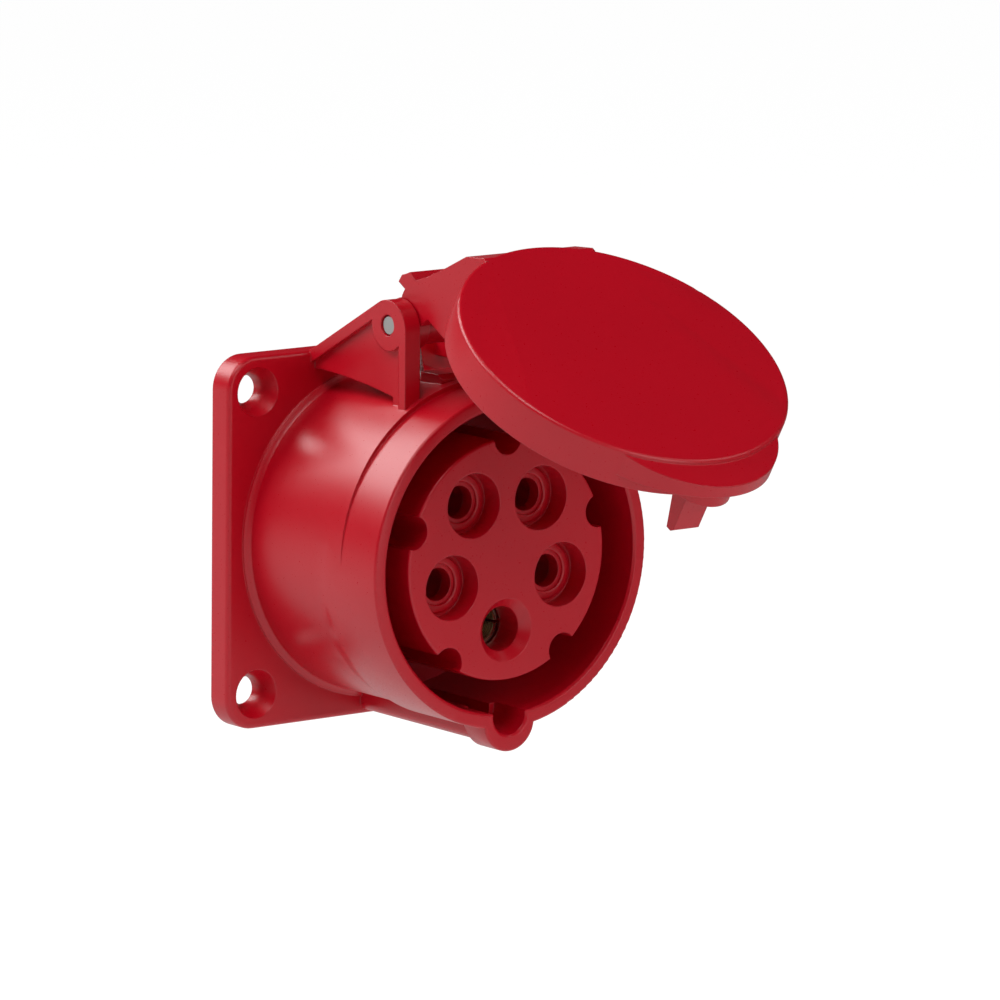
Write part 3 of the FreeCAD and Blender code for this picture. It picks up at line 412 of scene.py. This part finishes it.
def extra(name, mesh, material, body):
    """A piece made from a new surface: it takes a material, rides on a body and has a material slot."""
    mesh.materials.append(get_material(material))
    piece = bpy.data.objects.new(name, mesh)
    bpy.context.scene.collection.objects.link(piece)
    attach(piece, body)
    return piece


def straight(a, b, count):
    """Evenly spaced points from a to b, without b."""
    t = np.linspace(0.0, 1.0, count, endpoint=False)[:, None]
    return np.asarray(a) * (1.0 - t) + np.asarray(b) * t


class SOCKET_OT_housing(bpy.types.Operator):
    """Make the moulded housing"""
    bl_idname = "socket.housing"
    bl_label = "Housing"

    def execute(self, context):
        smooth_copy("housing", "housing_moulding", "red moulded polyamide", "socket")
        return {"FINISHED"}


class SOCKET_OT_lid(bpy.types.Operator):
    """Make the moulded lid"""
    bl_idname = "socket.lid"
    bl_label = "Lid"

    def execute(self, context):
        smooth_copy("lid", "lid_moulding", "red moulded polyamide", "lid")
        return {"FINISHED"}


class SOCKET_OT_insert(bpy.types.Operator):
    """Make the insert with its contact holes and the holder behind it"""
    bl_idname = "socket.insert"
    bl_label = "Insert"

    def execute(self, context):
        smooth_copy("contact_carrier", "insert_moulding", "red moulded polyamide", "socket")
        smooth_copy("carrier_holder", "holder_moulding", "grey moulded polyamide", "socket")
        return {"FINISHED"}


class SOCKET_OT_block(bpy.types.Operator):
    """Make the terminal block"""
    bl_idname = "socket.block"
    bl_label = "Terminal block"

    def execute(self, context):
        smooth_copy("terminal_block", "block_moulding", "grey moulded polyamide", "socket")
        return {"FINISHED"}


class SOCKET_OT_metal(bpy.types.Operator):
    """Make the contacts, spring rings, screws and pin"""
    bl_idname = "socket.metal"
    bl_label = "Metal parts"

    def execute(self, context):
        for tail in ("line_1", "line_2", "line_3", "neutral", "earth"):
            smooth_copy("contact_" + tail, "sleeve_" + tail, "turned nickel-plated brass",
                        "socket")
            smooth_copy("ring_" + tail, "sleeve_ring_" + tail, "spring wire", "socket")
        for node in ("carrier_screws", "block_screws", "terminal_screws"):
            smooth_copy(node, node + "_plated", "zinc-plated steel", "socket")
        smooth_copy("hinge_pin", "hinge_pin_drawn", "drawn stainless steel", "socket")
        return {"FINISHED"}


class SOCKET_OT_seals(bpy.types.Operator):
    """Make the rubber seals"""
    bl_idname = "socket.seals"
    bl_label = "Seals"

    def execute(self, context):
        for node, body in (("lid_seal", "lid"), ("carrier_seal", "socket"), ("flange_gasket", "socket")):
            smooth_copy(node, node + "_rubber", "moulded nitrile rubber", body)
        return {"FINISHED"}


class SOCKET_OT_spring(bpy.types.Operator):
    """Wind the lid's spring round the pin"""
    bl_idname = "socket.spring"
    bl_label = "Lid spring"

    def execute(self, context):
        size = context.scene.socket_spring
        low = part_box("lid_spring")[0]
        pin_low, pin_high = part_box("hinge_pin")
        axis = np.array([0.0, (pin_low.y + pin_high.y) / 2, (pin_low.z + pin_high.z) / 2])
        open_turn = math.radians(90.0 - LID_OPEN_DEG)
        c, s = math.cos(open_turn), math.sin(open_turn)
        y, z = SPRING_CATCH
        # The coil is left where a straight line to the catch touches its circle.
        end_turn = math.atan2(z, y) - math.acos(size.coil / math.hypot(y, z)) + open_turn
        sweep = size.turns * 2.0 * math.pi + end_turn
        u = np.linspace(0.0, 1.0, COIL_STEPS * size.turns)
        # Helix: x runs evenly along the pin while the point turns about it at the coil's radius.
        coil = axis + np.stack([size.half * (2.0 * u - 1.0), size.coil * np.cos(sweep * u),
                                size.coil * np.sin(sweep * u)], -1)
        foot = np.array([-size.foot, axis[1] + size.coil, low.z])
        tip = axis + np.array([size.half, y * c - z * s, y * s + z * c])
        path = np.concatenate([straight(foot, coil[0], LEG_STEPS), coil,
                               straight(coil[-1], tip, LEG_STEPS)[1:], tip[None]])
        mesh = tube_mesh("lid_spring_wire", rounded(path, BEND_SPREAD), size.wire, WIRE_SIDES)
        piece = extra("lid_spring_wire", mesh, "spring wire", "socket")
        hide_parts("lid_spring")
        return {"FINISHED"}


class SOCKET_OT_cover(bpy.types.Operator):
    """Bend the lid's wall round the front of its spring"""
    bl_idname = "socket.cover"
    bl_label = "Spring cover"

    def execute(self, context):
        size = context.scene.socket_cover
        spring = context.scene.socket_spring
        pin_low, pin_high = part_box("hinge_pin")
        axis = np.array([(pin_low.y + pin_high.y) / 2, (pin_low.z + pin_high.z) / 2])
        # Section: an arc about the pin, from level in front to well below, led up to the neck's underside.
        t = np.linspace(size.first, size.last, ARC_STEPS)
        arc = np.stack([np.cos(t), np.sin(t)], -1)
        top = np.array(size.top)
        outer = np.concatenate([[top - [size.thick, 0.0]], (size.inner + size.thick) * arc])
        inner = np.concatenate([[top], size.inner * arc])
        section = axis + np.concatenate([outer, inner[::-1]])
        # The wall ends short of the spring's end on the right, which it passes as the lid turns.
        right = spring.half - spring.wire - size.room
        mesh = swept_mesh("spring_cover", section[::-1], -size.half, right)
        extra("spring_cover", mesh, "red moulded polyamide", "lid")
        return {"FINISHED"}


class SOCKET_OT_collars(bpy.types.Operator):
    """Raise a low collar round each sunk contact hole"""
    bl_idname = "socket.collars"
    bl_label = "Collars"

    def execute(self, context):
        size = context.scene.socket_collar
        centres = [(size.pitch * math.sin(math.radians(a)), size.pitch * math.cos(math.radians(a)))
                   for a in HOLE_DEGREES]
        base = size.floor - size.root
        top = size.floor + size.high
        nose = size.high * size.edge
        t = np.linspace(0.0, np.pi / 2, EDGE_STEPS)
        # Section: up the outer side, round its edge by a quarter circle, across the top, and down inside.
        out = np.stack([size.outer - nose + nose * np.cos(t), top - nose + nose * np.sin(t)], -1)
        inn = np.stack([size.inner + nose - nose * np.sin(t), top - nose + nose * np.cos(t)], -1)
        section = np.concatenate([[[size.outer, base]], out, inn, [[size.inner, base]]])
        mesh = turned_mesh("contact_collars", section, centres, COLLAR_SIDES)
        extra("contact_collars", mesh, "red moulded polyamide", "socket")
        return {"FINISHED"}


class SOCKET_OT_stage(bpy.types.Operator):
    """Set the floor, the lights and the camera"""
    bl_idname = "socket.stage"
    bl_label = "Stage"

    def execute(self, context):
        size = context.scene.socket_stage
        self.floor(size.floor, size.ground)
        for name, azimuth, elevation, sides in SOFT_BOXES:
            self.lamp(name + " light", azimuth, elevation, sides, getattr(size, name + "_watts"))
        self.world(size.sky, size.ground)
        self.camera()
        return {"FINISHED"}

    def lamp(self, name, azimuth, elevation, sides, watts):
        """A soft box that faces the part from a direction: azimuth runs from -Y towards +X."""
        a, e = math.radians(azimuth), math.radians(elevation)
        out = Vector((math.sin(a) * math.cos(e), -math.cos(a) * math.cos(e), math.sin(e)))
        data = bpy.data.lights.new(name, "AREA")
        data.shape = "RECTANGLE"
        data.size, data.size_y = sides
        data.energy = watts
        lamp = bpy.data.objects.new(name, data)
        lamp.location = LAMP_AIM + out * LAMP_DISTANCE
        lamp.rotation_euler = (-out).to_track_quat("-Z", "Y").to_euler()
        bpy.context.scene.collection.objects.link(lamp)
        lamp.visible_camera = False

    def floor(self, height, lit):
        """A wide sheet of paper under the part; it shows white and keeps soft shadows."""
        corners = [(x * PAPER_REACH, y * PAPER_REACH, height)
                   for x, y in ((-1, -1), (1, -1), (1, 1), (-1, 1))]
        mesh = bpy.data.meshes.new("floor")
        mesh.from_pydata(corners, [], [(0, 1, 2, 3)])
        mesh.materials.append(self.paper(lit))
        sheet = bpy.data.objects.new("floor", mesh)
        bpy.context.scene.collection.objects.link(sheet)

    def paper(self, lit):
        """White studio paper: the camera sees almost only its own white, and reflections see a painted glow
        on it, bright on the left and dim on the right, in place of lamp light. The rest is matt and takes
        shadows."""
        material, tree, out = blank("white studio paper")
        rays = add(tree, "ShaderNodeLightPath")
        place = add(tree, "ShaderNodeTexCoord").outputs["Object"]
        tooth = add(tree, "ShaderNodeTexNoise", {"Vector": place, "Scale": 900.0, "Detail": 2.0})
        base = shade(tree, linear("F2F2F2"), linear("F8F8F8"), tooth.outputs["Fac"])
        matt = add(tree, "ShaderNodeBsdfDiffuse", {"Color": base})
        across = add(tree, "ShaderNodeSeparateXYZ", {"Vector": place})
        # Painted light: for reflections the paper glows, bright on the left and dimmer towards +X.
        glow = add(tree, "ShaderNodeMapRange", {"Value": across.outputs["X"], "From Min": LIT_UNTIL,
                                                "From Max": UNLIT_FROM, "To Min": lit,
                                                "To Max": lit * UNLIT_SHARE})
        camera = add(tree, "ShaderNodeMath", {0: rays.outputs["Is Camera Ray"], 1: PAPER_WHITE},
                     operation="MULTIPLY")
        level = add(tree, "ShaderNodeMath", {0: camera.outputs["Value"], 1: glow.outputs["Result"]},
                    operation="MAXIMUM")
        white = add(tree, "ShaderNodeEmission", {"Color": (1.0, 1.0, 1.0, 1.0),
                                                 "Strength": level.outputs["Value"]})
        both = add(tree, "ShaderNodeMath", {0: rays.outputs["Is Camera Ray"],
                                            1: rays.outputs["Is Glossy Ray"]}, operation="MAXIMUM")
        part = add(tree, "ShaderNodeMath", {0: both.outputs["Value"], 1: OWN_WHITE}, operation="MULTIPLY")
        mix = add(tree, "ShaderNodeMixShader", {"Fac": part.outputs["Value"], 1: matt.outputs["BSDF"],
                                                2: white.outputs["Emission"]})
        tree.links.new(mix.outputs["Shader"], out.inputs["Surface"])
        return material

    def world(self, sky, ground):
        """A studio that is white below the horizon and dim above it; the camera sees white all round."""
        world = bpy.data.worlds.new("studio")
        bpy.context.scene.world = world
        world.use_nodes = True
        tree = world.node_tree
        tree.nodes.clear()
        out = add(tree, "ShaderNodeOutputWorld")
        rays = add(tree, "ShaderNodeLightPath")
        place = add(tree, "ShaderNodeTexCoord")
        way = add(tree, "ShaderNodeSeparateXYZ", {"Vector": place.outputs["Generated"]})
        level = add(tree, "ShaderNodeMapRange", {"Value": way.outputs["Z"], "From Min": -HORIZON,
                                                 "From Max": HORIZON, "To Min": ground, "To Max": sky},
                    interpolation_type="SMOOTHSTEP")
        seen = add(tree, "ShaderNodeMath", {0: rays.outputs["Is Camera Ray"], 1: level.outputs["Result"]},
                   operation="MAXIMUM")
        light = add(tree, "ShaderNodeBackground", {"Color": (1.0, 1.0, 1.0, 1.0),
                                                   "Strength": seen.outputs["Value"]})
        tree.links.new(light.outputs["Background"], out.inputs["Surface"])

    def camera(self):
        """The photograph's view: back points from the target to the camera, and flat is level."""
        across, ahead = math.sin(VIEW_AZIMUTH), math.cos(VIEW_AZIMUTH)
        level, high = math.cos(VIEW_ELEVATION), math.sin(VIEW_ELEVATION)
        back = Vector((across * level, -ahead * level, high))
        flat = Vector((ahead, across, 0.0))
        rise = back.cross(flat)
        right = flat * math.cos(VIEW_ROLL) + rise * math.sin(VIEW_ROLL)
        up = rise * math.cos(VIEW_ROLL) - flat * math.sin(VIEW_ROLL)
        data = bpy.data.cameras.new("camera")
        data.lens = VIEW_LENS
        data.sensor_width = VIEW_SENSOR
        data.clip_start = 0.05
        camera = bpy.data.objects.new("camera", data)
        turn = Matrix((right, up, back)).transposed().to_4x4()
        camera.matrix_world = Matrix.Translation(VIEW_TARGET + back * VIEW_DISTANCE) @ turn
        bpy.context.scene.collection.objects.link(camera)
        bpy.context.scene.camera = camera
        bpy.context.scene.view_settings.view_transform = "Standard"


OPERATORS = (SOCKET_OT_housing, SOCKET_OT_lid, SOCKET_OT_insert, SOCKET_OT_block, SOCKET_OT_metal,
             SOCKET_OT_seals, SOCKET_OT_spring, SOCKET_OT_cover, SOCKET_OT_collars, SOCKET_OT_stage)


class SOCKET_PT_panel(bpy.types.Panel):
    """Lists the socket's pieces"""
    bl_idname = "SOCKET_PT_panel"
    bl_label = "Panel socket"
    bl_space_type = "VIEW_3D"
    bl_region_type = "UI"
    bl_category = "Socket"

    def draw(self, context):
        for group in GROUPS:
            holder = getattr(context.scene, group)
            for name in holder.__annotations__:
                self.layout.prop(holder, name)
        for operator in OPERATORS:
            self.layout.operator(operator.bl_idname)


GROUPS = {"socket_colours": SocketColours, "socket_spring": SocketSpring, "socket_cover": SocketCover,
          "socket_collar": SocketCollar, "socket_stage": SocketStage}
CLASSES = (*GROUPS.values(), *OPERATORS, SOCKET_PT_panel)


def register():
    """Register the classes and hang the property groups on the scene."""
    for item in CLASSES:
        bpy.utils.register_class(item)
    for name, group in GROUPS.items():
        setattr(bpy.types.Scene, name, PointerProperty(type=group))


def unregister():
    """Take the property groups and classes away again."""
    for name in GROUPS:
        delattr(bpy.types.Scene, name)
    for item in reversed(CLASSES):
        bpy.utils.unregister_class(item)


def main():
    """Make every piece and the stage."""
    register()
    for operator in OPERATORS:
        group, name = operator.bl_idname.split(".")
        getattr(getattr(bpy.ops, group), name)()


if __name__ == "__main__":
    main()
